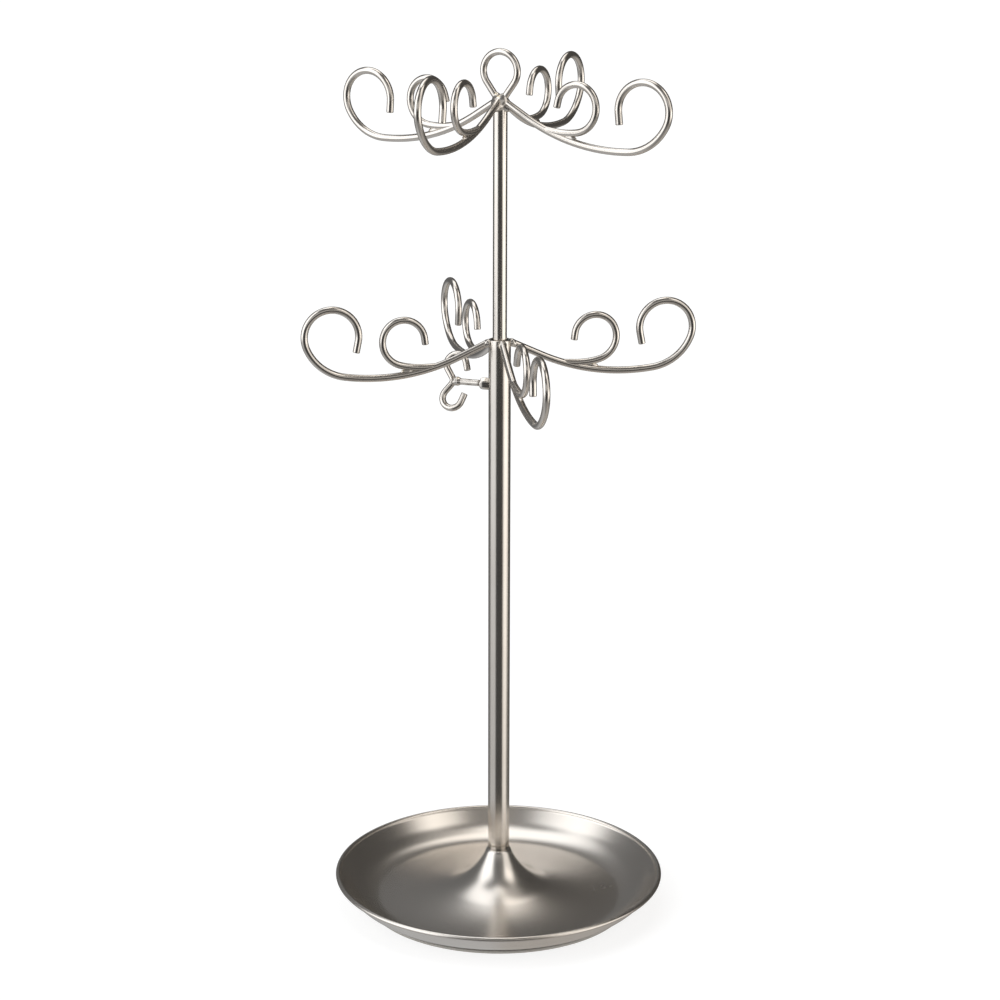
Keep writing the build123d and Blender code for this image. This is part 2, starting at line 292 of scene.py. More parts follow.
def nickel_dish():
    """Spun dish: hair-fine rings about the post under a soft satin plate."""
    material = bpy.data.materials.new("satin_dish")
    graph = Graph(material)
    place = graph.node("TexCoord", output="Object")
    flat = graph.stretch(place, (1, 1, 0))
    radius = graph.node("VectorMath", {"operation": "LENGTH"}, {0: flat}, output="Value")
    rings = graph.node("CombineXYZ", {}, {0: radius * 1700, 1: 0.0, 2: 0.0})
    wander = graph.stretch(place, (45, 45, 45))
    around = graph.node("VectorMath", {"operation": "ADD"}, {0: rings, 1: wander})
    scratches = graph.noise(around, 1.0, 3.0, 0.65)
    clouds = graph.noise(place, 30, 3.0)
    colour = graph.blend(graph.smooth(clouds, 0.3, 0.75), NICKEL, NICKEL_WORN)
    rough = 0.245 + scratches * 0.012 + clouds * 0.03
    normal = graph.bump(scratches, 0.00000015)
    metal_output(graph, {"Base Color": colour, "Roughness": rough, "Normal": normal})
    return material


def weld_metal():
    """Weld and braze under the plating: softly lumpy nickel with a few brassy patches."""
    material = bpy.data.materials.new("weld_metal")
    graph = Graph(material)
    place = graph.node("TexCoord", output="Object")
    lumps = graph.noise(place, 700, 3.0, 0.55)
    patches = graph.smooth(graph.noise(place, 330, 2.0), 0.60, 0.74)
    colour = graph.blend(patches, (0.70, 0.66, 0.61, 1), (0.72, 0.61, 0.43, 1))
    rough = 0.17 + lumps * 0.12
    normal = graph.bump(lumps, 0.00004)
    metal_output(graph, {"Base Color": colour, "Roughness": rough, "Normal": normal})
    return material


def zinc_hardware():
    """Bright zinc on screw and washer: bluish grey with faint crystals."""
    material = bpy.data.materials.new("plated_hardware")
    graph = Graph(material)
    place = graph.node("TexCoord", output="Object")
    grains = graph.node("TexVoronoi", {}, {"Vector": place, "Scale": 900.0}, output="Color")
    shade = graph.node("RGBToBW", {}, {"Color": grains})
    colour = graph.blend(shade, (0.62, 0.64, 0.67, 1), (0.52, 0.53, 0.54, 1))
    scratches = graph.noise(graph.stretch(place, (2000, 2000, 12000)), 1.0, 2.0)
    rough = 0.24 + shade * 0.10
    normal = graph.bump(scratches, 0.00001)
    metal_output(graph, {"Base Color": colour, "Roughness": rough, "Normal": normal})
    return material


print("metal finishes defined")

# %% [markdown]
# ## Nylon and foam
# The bush and the screw's tip are natural nylon: creamy, slightly translucent and faintly mottled.
# The foot is grey foam rubber, which shows cut cells as small dimples, each with painted shade at
# its middle.

# %% Soft finishes
def nylon():
    """Natural nylon: cream with a faint mottle and a slightly uneven skin."""
    material = bpy.data.materials.new("nylon")
    graph = Graph(material)
    place = graph.node("TexCoord", output="Object")
    mottle = graph.noise(place, 300, 3.0)
    colour = graph.blend(mottle, (0.80, 0.77, 0.69, 1), (0.72, 0.69, 0.60, 1))
    rough = 0.38 + mottle * 0.2
    normal = graph.bump(graph.noise(place, 2500, 2.0), 0.00002)
    values = {"Base Color": colour, "Roughness": rough, "Normal": normal, "IOR": 1.53}
    shader = graph.node("BsdfPrincipled", {}, values)
    graph.node("OutputMaterial", {}, {"Surface": shader})
    return material


def foam():
    """Cut foam rubber: each cell is a small dimple, with painted shade that darkens its middle."""
    material = bpy.data.materials.new("foot_foam")
    graph = Graph(material)
    place = graph.node("TexCoord", output="Object")
    cells = graph.node("TexVoronoi", {}, {"Vector": place, "Scale": 1400.0}, output="Distance")
    # Painted shade: the grey darkens towards each cell's middle, where its dimple is deepest.
    colour = graph.blend(cells, (0.34, 0.32, 0.29, 1), (0.46, 0.44, 0.41, 1))
    rough = 0.75 + cells * 0.2
    normal = graph.bump(cells, 0.0002)
    values = {"Base Color": colour, "Roughness": rough, "Normal": normal}
    shader = graph.node("BsdfPrincipled", {}, values)
    graph.node("OutputMaterial", {}, {"Surface": shader})
    return material


FINISHES = {
    "satin_wire": nickel_wire(),
    "satin_post": nickel_post(),
    "satin_dish": nickel_dish(),
    "weld_metal": weld_metal(),
    "plated_hardware": zinc_hardware(),
    "nylon": nylon(),
    "foot_foam": foam(),
}
print("finishes:", sorted(FINISHES))

# %% [markdown]
# ## Lines from lengths and turns
# Pressed sheet and bent wire are both chains of arcs. Giving each arc as a length and a turn, not
# as corner points, keeps the line smooth where two arcs meet, with no corner to round off.

# %% Arcs for outlines and wires
def heading_chain(start, heading, runs, spacing):
    """Line through runs of (length, turn in degrees), as points, headings and distances.

    The heading grows evenly along each run, and the place is the sum of short steps along it.
    """
    ends = np.cumsum([0.0] + [length for length, turn in runs])
    bends = radians(heading) + np.radians(np.cumsum([0.0] + [turn for length, turn in runs]))
    count = max(2, int(round(ends[-1] / spacing)) + 1)
    distance = np.linspace(0, ends[-1], count)
    angle = np.interp(distance, ends, bends)
    middle = np.interp((distance[1:] + distance[:-1]) / 2, ends, bends)
    step = np.diff(distance)[:, None] * np.stack([np.cos(middle), np.sin(middle)], axis=-1)
    points = np.concatenate([[start], start + np.cumsum(step, axis=0)])
    return points, angle, distance


def arc_points(centre, radius, first, last, count):
    """Points of a circle between two angles in degrees."""
    angle = np.radians(np.linspace(first, last, count))
    return np.asarray(centre) + radius * np.stack([np.cos(angle), np.sin(angle)], axis=-1)


print("arc helpers ready")

# %% [markdown]
# ## The dish
# It is one disc of 1.5 mm sheet, pressed over a former: a small flat seat for the tube, a cone that
# sweeps out into a hollow floor, a wall, and an edge curled into a bead. Its outline is a chain of
# arcs that all open upward, so the lower face is the same chain with each radius larger by the
# thickness. Spinning that outline about the post gives the whole shell.

# %% Dish base
SHEET = 1.5 * MM
SEAT_RADIUS = 5.6 * MM
CONE_SLOPE = 68.0
CONE_SWEEP = 31.0 * MM
FLOOR_SLOPE = 15.0
FLOOR_SWEEP = 112.9 * MM
WALL_BEND = 20.0 * MM
WALL_SLOPE = 46.0
WALL_LENGTH = 7.36 * MM
BEAD_RADIUS = 1.1 * MM
SCREW_HOLE = 2.75 * MM
DISH_SPACING = 0.8 * MM
seat_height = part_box("lower_tube")[0].z


def dish_skin(start, below):
    """One face of the pressed sheet, at a distance below its upper face."""
    cone_turn = CONE_SLOPE - FLOOR_SLOPE
    runs = (
        ((CONE_SWEEP + below) * radians(cone_turn), cone_turn),
        ((FLOOR_SWEEP + below) * radians(FLOOR_SLOPE), FLOOR_SLOPE),
        ((WALL_BEND + below) * radians(WALL_SLOPE), WALL_SLOPE),
        (WALL_LENGTH, 0),
    )
    return heading_chain(np.array(start), -CONE_SLOPE, runs, DISH_SPACING)[0]


def dish_faces():
    """Upper and lower face; the lower starts one sheet thickness square to the cone's slope."""
    slope = radians(CONE_SLOPE)
    under = (SEAT_RADIUS - SHEET * sin(slope), seat_height - SHEET * cos(slope))
    return dish_skin((SEAT_RADIUS, seat_height), 0), dish_skin(under, SHEET)


def dish_outline():
    """Closed outline: seat, upper face, rim bead, lower face, hole."""
    upper, lower = dish_faces()
    centre = (upper[-1] + lower[-1]) / 2
    neck = degrees(asin(SHEET / 2 / BEAD_RADIUS))
    bead = arc_points(centre, BEAD_RADIUS, WALL_SLOPE + 180 - neck, WALL_SLOPE - 180 + neck, 40)
    on_sheet = sqrt(BEAD_RADIUS ** 2 - (SHEET / 2) ** 2)
    upper = upper[np.linalg.norm(upper - upper[-1], axis=1) > on_sheet]
    lower = lower[np.linalg.norm(lower - lower[-1], axis=1) > on_sheet]
    lip = 0.25 * MM
    hole_top = np.array([[SCREW_HOLE, seat_height - lip], [SCREW_HOLE + lip, seat_height]])
    corner = np.array([[SEAT_RADIUS - lip, seat_height - 0.02 * MM]])
    under = seat_height - SHEET
    inside = lower[0]
    hole_under = np.array([[inside[0], under], [SCREW_HOLE, under]])
    return np.concatenate([hole_top, corner, upper[1:], bead, lower[::-1][:-1], hole_under])


dish = turned("dish", dish_outline(), segments=256)
finish_piece(dish, "stand", "satin_dish", ["dish_base"])

# %% [markdown]
# ## Foot pad
# A ring of foam rubber fills the hollow rim of the sheet and keeps steel off the table. Its edges
# are die-cut, so they are square with a slight pull inwards.

# %% Foot pad
PAD_INNER = 44.0 * MM
PAD_OUTER = 62.5 * MM
PAD_HEIGHT = 1.4 * MM
PAD_EDGE = 0.15 * MM


def pad_outline():
    """Closed outline: a flat foot, a waisted outer edge and a top that follows the sheet."""
    lower = dish_faces()[1]
    radius = np.linspace(PAD_OUTER, PAD_INNER, 40)
    height = np.minimum(np.interp(radius, lower[:, 0], lower[:, 1]), PAD_HEIGHT)
    top = np.stack([radius, height], axis=-1)
    waist = [PAD_OUTER - PAD_EDGE / 2, PAD_HEIGHT / 2]
    side = [[PAD_OUTER - PAD_EDGE, 0], [PAD_OUTER, PAD_EDGE], waist]
    inner = [[PAD_INNER, PAD_EDGE], [PAD_INNER + PAD_EDGE, 0]]
    return np.concatenate([side, top, inner])


pad = turned("pad", pad_outline(), segments=192)
finish_piece(pad, "stand", "foot_foam", ["foot_pad"])

# %% [markdown]
# ## Tube and rod
# The tube is cut square and its end is broken with a file, which leaves a narrow bright ring round
# the rod. The rod is bar with a spigot turned on its lower end for the guide bush.

# %% Tube and rod
TUBE_RADIUS = 5.0 * MM
TUBE_BORE = 3.75 * MM
TUBE_EDGE = 0.35 * MM
ROD_RADIUS = 3.175 * MM
SPIGOT_RADIUS = 2.5 * MM
SPIGOT_LENGTH = 13.6 * MM
tube_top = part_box("lower_tube")[1].z
rod_low, rod_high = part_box("post_rod")[0].z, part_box("post_rod")[1].z


def rounded_tube(low, high, outer, inner, edge):
    """Closed outline of a tube whose top edges are rounded; the foot is square."""
    outside = arc_points((outer - edge, high - edge), edge, 0, 90, 7)
    inside = arc_points((inner + edge / 2, high - edge / 2), edge / 2, 90, 180, 5)
    stations = np.linspace(low, high - edge, 60)
    up = np.stack([np.full_like(stations, outer), stations], axis=-1)
    down = np.stack([np.full_like(stations, inner), stations], axis=-1)[::-1]
    return np.concatenate([up[:-1], outside, inside, down])


def rod_outline():
    """Half outline of the rod from pole to pole: spigot, shoulder and body with broken edges."""
    edge = 0.3 * MM
    shoulder = rod_low + SPIGOT_LENGTH
    stations = np.linspace(shoulder + edge, rod_high - edge, 60)
    body = np.stack([np.full_like(stations, ROD_RADIUS), stations], axis=-1)
    foot = [[0, rod_low], [SPIGOT_RADIUS - edge, rod_low], [SPIGOT_RADIUS, rod_low + edge]]
    step = [[SPIGOT_RADIUS, shoulder], [ROD_RADIUS - edge, shoulder]]
    top = [[ROD_RADIUS - edge, rod_high], [0, rod_high]]
    return np.concatenate([foot, step, body, top])


tube_outline = rounded_tube(seat_height, tube_top, TUBE_RADIUS, TUBE_BORE, TUBE_EDGE)
tube = turned("tube", tube_outline, 96)
finish_piece(tube, "stand", "satin_post", ["lower_tube"])
rod = turned_bar("rod", rod_outline())
finish_piece(rod, "upper_post", "satin_post", ["post_rod"])

# %% [markdown]
# ## Bent wire
# A wire is a disc carried along a flat line. Its ends are sheared off, so each has a flat face with
# a slightly rounded edge. The line comes from (length, turn) pairs, which is also how a wire bender
# is set, and a little smoothing of the heading gives the gradual bends that real wire has. A curve
# with a bevel would be shorter to write, but it keeps no place before bending for the scratches.

# %% Wire maker
LINE_SPACING = 0.05 * MM


def bent_wire(start, heading, runs, radius, sides=28, edge=0.35 * MM, taper=None):
    """Grid of a round wire in its own plane: (rows, sides, 3) with y across the plane.

    Point = centre + radius * (cos a * normal + sin a * across). taper is (length, share): the
    radius grows from that share over that length, as a ground end does.
    """
    line, angle, distance = heading_chain(np.array(start), heading, runs, LINE_SPACING)
    length = distance[-1]
    soft = int(1.2 * MM / (distance[1] - distance[0])) | 1
    padded = np.pad(angle, soft // 2, mode="edge")
    angle = np.convolve(padded, np.ones(soft) / soft, mode="valid")
    step = np.stack([np.cos(angle), np.sin(angle)], axis=-1)
    middle = (step[1:] + step[:-1]) / 2 * np.diff(distance)[:, None]
    line = np.concatenate([line[:1], line[:1] + np.cumsum(middle, axis=0)])
    body = np.linspace(edge, length - edge, int(length / (0.9 * MM)))
    round_off = np.radians(np.linspace(0, 90, 6))
    face = np.linspace(0, radius - edge, 4)[:-1]
    first = np.concatenate([face * 0, (edge * (1 - np.cos(round_off)))[:-1]])
    first_radius = np.concatenate([face, (radius - edge + edge * np.sin(round_off))[:-1]])
    stations = np.concatenate([first, body, length - first[::-1]])
    radii = np.concatenate([first_radius, np.full_like(body, radius), first_radius[::-1]])
    if taper:
        grown = np.clip(stations / taper[0], 0, 1)
        radii = radii * (taper[1] + (1 - taper[1]) * np.sin(grown * pi / 2))
    centre = np.stack([np.interp(stations, distance, line[:, k]) for k in (0, 1)], axis=-1)
    turn = np.interp(stations, distance, angle)
    normal = np.stack([-np.sin(turn), np.cos(turn)], axis=-1)
    around = np.linspace(0, 2 * pi, sides, endpoint=False)
    out = radii[:, None, None] * np.cos(around)[None, :, None] * normal[:, None, :]
    flat = centre[:, None, :] + out
    across = radii[:, None] * np.sin(around)[None, :]
    grid = np.stack([flat[..., 0], across, flat[..., 1]], axis=-1)
    along = np.broadcast_to(stations[:, None], across.shape)
    stock = np.stack([radii[:, None] * np.cos(around), across, along], axis=-1)
    return grid, stock


def place_in_plane(grid, droop, root, height, azimuth):
    """Tip a grid about its root in its own plane, move it out and up, turn it about the post."""
    tip, turn = radians(droop), radians(azimuth)
    x = grid[..., 0] * cos(tip) - grid[..., 2] * sin(tip) + root
    z = grid[..., 0] * sin(tip) + grid[..., 2] * cos(tip) + height
    y = grid[..., 1]
    return np.stack([x * cos(turn) - y * sin(turn), x * sin(turn) + y * cos(turn), z], axis=-1)


print("wire maker ready")

# %% [markdown]
# ## The forked hooks
# Every hook is a main wire that dips away from the post and curls into a scroll, with a shorter
# wire brazed along its back that curls into a smaller one. The short wire's end is ground to a
# long taper, so the pair looks like one stem that forks. All eight have the same bends. Each was
# set by hand, so their directions and droops differ by a few degrees.

# %% Hooks and branches
WIRE_RADIUS = 1.6 * MM
BRANCH_RADIUS = 1.55 * MM
HOOK_HEADING = -27.7
HOOK_RUNS = ((14.2, 0), (51.8, 32.9), (22.2, 58.5), (8.9, 39.8), (36.6, 174.5), (5.2, 0))
BRANCH_START = 22.8
BRANCH_LIFT = 7.2
BRANCH_RUNS = ((17.9, 26.3), (18.0, 95.3), (24.9, 152.4), (3.2, 0))
BRANCH_TAPER = (7.0 * MM, 0.75)
# Each hook: direction about the post and droop, in degrees.
LOWER_HOOKS = {"right": (-4.6, 3.4), "back": (95.3, 1.2),
               "left": (178.8, 3.4), "front": (270.4, -4.5)}
UPPER_HOOKS = {"right": (-43.5, -2.0), "back": (50.6, 0.1),
               "left": (135.2, -4.0), "front": (233.6, 1.1)}
# Each tier: body, distance of the root from the post's axis, height, overrun into the post, hooks.
TIERS = {
    "lower": ("stand", 5.9 * MM, 266.9 * MM, 1.7 * MM, LOWER_HOOKS),
    "upper": ("upper_post", 0.6 * MM, 374.6 * MM, -1.6 * MM, UPPER_HOOKS),
}


def in_metres(runs):
    return tuple((length * MM, turn) for length, turn in runs)


def hook_grid(overrun):
    """Main wire, begun a little inside the post so that the weld covers its end."""
    heading = radians(HOOK_HEADING)
    start = (-overrun * cos(heading), -overrun * sin(heading))
    first = HOOK_RUNS[0]
    runs = ((first[0] + overrun / MM, first[1]),) + HOOK_RUNS[1:]
    return bent_wire(start, HOOK_HEADING, in_metres(runs), WIRE_RADIUS)


def on_hook(along):
    """Place and heading in radians on the main wire's centre line, at a distance from its root."""
    runs = in_metres(HOOK_RUNS)
    line, angle, distance = heading_chain(np.zeros(2), HOOK_HEADING, runs, LINE_SPACING)
    place = [np.interp(along, distance, line[:, k]) for k in (0, 1)]
    return place, np.interp(along, distance, angle)


branch_place, branch_turn = on_hook(BRANCH_START * MM)
branch_grid, branch_stock = bent_wire(branch_place, degrees(branch_turn) + BRANCH_LIFT,
                                      in_metres(BRANCH_RUNS), BRANCH_RADIUS, taper=BRANCH_TAPER)
for level, (body, root, height, overrun, hooks) in TIERS.items():
    grid, stock = hook_grid(overrun)
    for side, (azimuth, droop) in hooks.items():
        place = (droop, root, height, azimuth)
        wire = make_piece(f"{level}_scroll_{side}", place_in_plane(grid, *place), stock)
        finish_piece(wire, body, "satin_wire", [f"{level}_hook_{side}"])
        placed = place_in_plane(branch_grid, *place)
        twig = make_piece(f"{level}_twig_{side}", placed, branch_stock)
        finish_piece(twig, body, "satin_wire", [f"{level}_branch_{side}"])

# %% [markdown]
# ## Top loop
# A teardrop of thinner wire stands on the rod's end, for carrying the tree. Two straight legs leave
# the rod side by side and meet a circle at its tangent points. The lean of the legs follows from
# the circle's height, so the loop closes whatever its size.

# %% Top loop
LOOP_RADIUS = 8.3 * MM
LOOP_WIRE = 1.5 * MM
LOOP_LEG = 1.9 * MM
LOOP_TOP = 394.89 * MM
LOOP_AZIMUTH = -40.5
LOOP_SUNK = 0.6 * MM


def loop_grid():
    """Leg, arc of 180 degrees plus twice the lean, leg."""
    rise = LOOP_TOP - LOOP_RADIUS - rod_high
    reach = hypot(LOOP_LEG, rise)
    lean = degrees(asin(LOOP_RADIUS / reach) - atan2(LOOP_LEG, rise))
    leg = sqrt(reach ** 2 - LOOP_RADIUS ** 2)
    crown = 180 + 2 * lean
    tilt = radians(lean)
    start = (-LOOP_LEG + LOOP_SUNK * sin(tilt), rod_high - LOOP_SUNK * cos(tilt))
    legs = LOOP_SUNK + leg
    runs = ((legs, 0), (LOOP_RADIUS * radians(crown), -crown), (legs, 0))
    return bent_wire(start, 90 + lean, runs, LOOP_WIRE)


grid, stock = loop_grid()
loop = make_piece("carry_loop", place_in_plane(grid, 0, 0, 0, LOOP_AZIMUTH), stock)
finish_piece(loop, "upper_post", "satin_wire", ["top_loop"])

# %% [markdown]
# ## Welds
# Molten filler wets whatever it touches: a bead is round where it is free and climbs a little way
# along every wire. A bead here is a sphere whose radius is a sum of smooth bumps, one toward each
# wire that it climbs, over a small all-round ripple.

# %% Bead maker
def bead_grid(centre, radius, climbs, ripple, squash=(1, 1, 1), seed=0, rows=40, columns=64):
    """Star-shaped bead: radius(direction) = radius * (1 + sum of bumps + ripple).

    Each climb is (direction, height, width in degrees); ripple is a sum of slow sine waves.
    """
    polar = np.linspace(0, pi, rows)[:, None]
    turn = np.linspace(0, 2 * pi, columns, endpoint=False)[None, :]
    way = np.stack([np.sin(polar) * np.cos(turn), np.sin(polar) * np.sin(turn),
                    np.cos(polar) + 0 * turn], axis=-1)
    size = np.ones(way.shape[:2])
    for direction, height, width in climbs:
        aim = np.asarray(direction, float) / np.linalg.norm(direction)
        spread = np.arccos(np.clip(way @ aim, -1, 1)) / radians(width)
        size = size + height * np.exp(-spread ** 2)
    waves = np.random.default_rng(seed).normal(size=(5, 3)) * 3.0
    size = size + ripple * np.sin(way @ waves.T + waves[:, 0]).mean(axis=-1)
    return np.asarray(centre) + radius * size[..., None] * way * np.asarray(squash)


def wire_way(azimuth, droop):
    """Unit vector along a hook's root, outward and down."""
    slope, turn = radians(HOOK_HEADING + droop), radians(azimuth)
    return np.array([cos(slope) * cos(turn), cos(slope) * sin(turn), sin(slope)])


def join(name, grids):
    """One piece from several closed grids."""
    parts = [make_piece(f"{name}_{k}", grid) for k, grid in enumerate(grids)]
    with bpy.context.temp_override(active_object=parts[0], selected_editable_objects=parts):
        bpy.ops.object.join()
    parts[0].name = name
    return parts[0]


print("bead maker ready")

# %% [markdown]
# ## Where the beads sit
# Each lower hook has a bead at its root that runs out along the wire. Each branch has a small web
# in the fork. The four upper hooks and the loop meet in one crown on the rod's end, which climbs
# every wire a little. Separate seeds keep two beads from being alike.

# %% Root beads on the tube, fork webs and the crown
ROOT_BEAD = 2.15 * MM
CROWN_BEAD = 4.1 * MM
CROWN_DROP = 1.7 * MM
FORK_WEB = 1.15 * MM
FORK_STRETCH = (2.1, 1.0, 1.0)
CROTCH_ALONG = 38.0 * MM
CROTCH_RISE = 1.6 * MM


def root_beads():
    body, root, height, overrun, hooks = TIERS["lower"]
    up = np.array([0, 0, 1])
    grids = []
    for k, (azimuth, droop) in enumerate(hooks.values()):
        out = np.array([cos(radians(azimuth)), sin(radians(azimuth)), 0])
        centre = out * (TUBE_RADIUS + 0.1 * MM) + up * (height + 0.1 * MM)
        climbs = [(wire_way(azimuth, droop), 0.75, 34), (-out, -0.35, 70)]
        climbs += [(-up, -0.1, 50), (up, -0.12, 50)]
        grids.append(bead_grid(centre, ROOT_BEAD, climbs, 0.10, seed=k))
    return grids


def fork_webs(level):
    """Bridge of weld between each main wire and its branch, just before they part."""
    body, root, height, overrun, hooks = TIERS[level]
    spot, turn = on_hook(CROTCH_ALONG)
    climbs = [((1, 0, 0.2), 0.3, 40), ((-1, 0, 0), 0.9, 30)]
    grids = []
    for k, (azimuth, droop) in enumerate(hooks.values()):
        grid = bead_grid((0, 0, 0), FORK_WEB, climbs, 0.06, FORK_STRETCH, seed=10 + k)
        x = grid[..., 0] * cos(turn) - grid[..., 2] * sin(turn) + spot[0]
        z = grid[..., 0] * sin(turn) + grid[..., 2] * cos(turn) + spot[1] + CROTCH_RISE
        flat = np.stack([x, grid[..., 1], z], axis=-1)
        grids.append(place_in_plane(flat, droop, root, height, azimuth))
    return grids


def crown_grid():
    """The crown climbs the four upper hooks and the loop's two legs, and is flat below."""
    body, root, height, overrun, hooks = TIERS["upper"]
    climbs = [(wire_way(*place), 0.55, 20) for place in hooks.values()]
    side = np.array([cos(radians(LOOP_AZIMUTH)), sin(radians(LOOP_AZIMUTH)), 0])
    climbs += [(side * s + np.array([0, 0, 1.7]), 0.35, 18) for s in (-1, 1)]
    climbs.append(((0, 0, -1), -0.1, 60))
    centre = (0, 0, height - CROWN_DROP)
    return bead_grid(centre, CROWN_BEAD, climbs, 0.30, seed=7, rows=64, columns=96)


roots = join("root_beads", root_beads())
finish_piece(roots, "stand", "weld_metal", ["lower_root_welds"])
for level in TIERS:
    beads = join(f"{level}_fork_beads", fork_webs(level))
    finish_piece(beads, TIERS[level][0], "weld_metal", [f"{level}_crotch_welds"])
crown = make_piece("crown_bead", crown_grid())
finish_piece(crown, "upper_post", "weld_metal", ["crown_weld"])

# %% [markdown]
# ## Thumbscrew
# The screw is a threaded shank with a handle of bent wire: one wire, curled into two hooks like a
# figure three, and tacked to the shank at its cusp. The thread is a real helix: the radius of the
# shank depends on the height less one pitch for each turn.

# %% Thumbscrew
SCREW_HEIGHT = 247.8 * MM
SCREW_AZIMUTH = 147.4
SHANK_RADIUS = 1.45 * MM
SHANK_START = 4.165 * MM
THREAD_PITCH = 0.5 * MM
THREAD_DEPTH = 0.27 * MM
THREAD_END = 10.4 * MM
HORN_RADIUS = 1.5 * MM
HORN_CUSP = 22.3 * MM
HORN_SPLAY = 53.5
HORN_RUN = 6.2 * MM
HORN_BEND_RADIUS = 4.6 * MM
HORN_BEND = 198.0
HORN_TIP = 4.2 * MM
HORN_ROLL = 20.3
CUSP_BEND = 2.35 * MM
NUT_FLATS = 5.0 * MM
NUT_FACE = 9.2 * MM
NUT_ROUND = 1.3 * MM


def on_screw(grid):
    """Carry a grid built along +Z from the post's centre onto the thumbscrew's axis."""
    turn = radians(SCREW_AZIMUTH)
    x, y, z = grid[..., 0], grid[..., 1], grid[..., 2]
    out, side, up = z, y, -x
    return np.stack([out * cos(turn) - side * sin(turn), out * sin(turn) + side * cos(turn),
                     up + SCREW_HEIGHT], axis=-1)


def in_screw_plane(grid):
    """Carry a flat wire (x along the screw, z up) onto the axis, rolled as the handle stands."""
    roll, turn = radians(HORN_ROLL), radians(SCREW_AZIMUTH)
    x = grid[..., 0]
    y = grid[..., 1] * cos(roll) - grid[..., 2] * sin(roll)
    z = grid[..., 1] * sin(roll) + grid[..., 2] * cos(roll)
    return np.stack([x * cos(turn) - y * sin(turn), x * sin(turn) + y * cos(turn),
                     z + SCREW_HEIGHT], axis=-1)


def horn_grid():
    """Tip, scroll, straight, cusp and the same again mirrored, centred on the screw's axis."""
    splay = radians(HORN_SPLAY)
    cut = CUSP_BEND * cos(splay) / sin(splay)
    curl = (HORN_BEND_RADIUS * radians(HORN_BEND), HORN_BEND)
    half = ((HORN_TIP, 0), curl, (HORN_RUN - cut, 0))
    cusp_turn = 180 - 2 * HORN_SPLAY
    runs = half + ((CUSP_BEND * radians(cusp_turn), -cusp_turn),) + half[::-1]
    heading = 180 - HORN_SPLAY - HORN_BEND
    line, angle, distance = heading_chain(np.zeros(2), heading, runs, LINE_SPACING)
    middle = [np.interp(distance[-1] / 2, distance, line[:, k]) for k in (0, 1)]
    return bent_wire((HORN_CUSP - middle[0], -middle[1]), heading, runs, HORN_RADIUS)


def shank_grid():
    """Threaded shank: radius = crest - depth * saw(height / pitch - angle / turn)."""
    threaded = np.linspace(SHANK_START, HORN_CUSP, 420)
    stations = np.concatenate([threaded[:1], threaded, threaded[-1:]])
    around = np.linspace(0, 2 * pi, 36, endpoint=False)
    phase = stations[:, None] / THREAD_PITCH - around[None, :] / (2 * pi)
    saw = np.abs((phase % 1.0) * 2 - 1)
    fade = np.clip((THREAD_END - stations) / (1.5 * THREAD_PITCH), 0, 1)[:, None]
    radius = SHANK_RADIUS - THREAD_DEPTH * saw * fade
    radius[0] = 0
    radius[-1] = 0
    height = np.broadcast_to(stations[:, None], radius.shape)
    grid = np.stack([radius * np.cos(around), radius * np.sin(around), height], axis=-1)
    return on_screw(grid), grid


def nut_grid():
    """Hexagon nut with melted edges: the flats' outline, cut by a quarter-circle round at the face.

    Flats: radius(angle) = flats / 2 / cos(angle within a flat), with the corners dulled.
    """
    around = np.linspace(0, 2 * pi, 96, endpoint=False)
    flats = NUT_FLATS / 2 / np.cos((around % (pi / 3)) - pi / 6)
    dulled = np.minimum(flats, NUT_FLATS / 2 * 1.11)
    low = TUBE_RADIUS - 0.9 * MM
    bore = SHANK_RADIUS + 0.06 * MM
    turn_in = np.radians(np.linspace(0, 90, 12))
    stations = NUT_FACE - NUT_ROUND + NUT_ROUND * np.sin(turn_in)
    limits = dulled.max() - NUT_ROUND + NUT_ROUND * np.cos(turn_in)
    radii = [dulled] + [np.minimum(dulled, limit) for limit in limits]
    radii += [np.full_like(around, size) for size in (bore + 0.2 * MM, bore, bore)]
    heights = np.array([low, *stations, NUT_FACE, NUT_FACE - 0.2 * MM, low])
    radii = np.array(radii)
    up = np.broadcast_to(heights[:, None], radii.shape)
    return on_screw(np.stack([radii * np.cos(around), radii * np.sin(around), up], axis=-1))


grid, stock = horn_grid()
horns = make_piece("screw_handle", in_screw_plane(grid), stock)
finish_piece(horns, "thumbscrew", "satin_wire", ["screw_horns"])
grid, stock = shank_grid()
shank = make_piece("shank", grid, stock)
finish_piece(shank, "thumbscrew", "satin_wire", ["screw_shank"])
nut = make_piece("side_nut", nut_grid(), closed_rows=True)
weld_poles(nut.data)
finish_piece(nut, "stand", "satin_post", ["weld_nut"])
cusp = in_screw_plane(np.array([[[HORN_CUSP - 1.7 * MM, 0, 0]]]))[0, 0]
outward = np.array([cos(radians(SCREW_AZIMUTH)), sin(radians(SCREW_AZIMUTH)), 0])
tack = make_piece("handle_bead", bead_grid(cusp, 2.05 * MM, [(-outward, 0.55, 40)], 0.08, seed=3))
finish_piece(tack, "thumbscrew", "weld_metal", ["horn_weld"])

# %% [markdown]
# ## Parts that keep their CAD shape
# The screw, washer, plug, clip, bush and tip are small turned parts that are nearly hidden. Their
# CAD meshes are already right, so they only take a finish.

# %% Finishes for the CAD parts
slots = {entry["node"]: entry["material_slot"] for entry in frame["record"]["subparts"]}
for name, node in frame["nodes"].items():
    node.data.materials.clear()
    node.data.materials.append(FINISHES[slots[name]])
print("CAD nodes given a finish:", len(frame["nodes"]))

# %% [markdown]
# ## Studio
# Satin metal shows its surroundings more than itself, so the light is half of the finish. The floor
# is plain and pale. It glows of its own, which keeps the shadow under the dish faint, and the metal
# does not reflect it, because the world already has a glowing lower half.

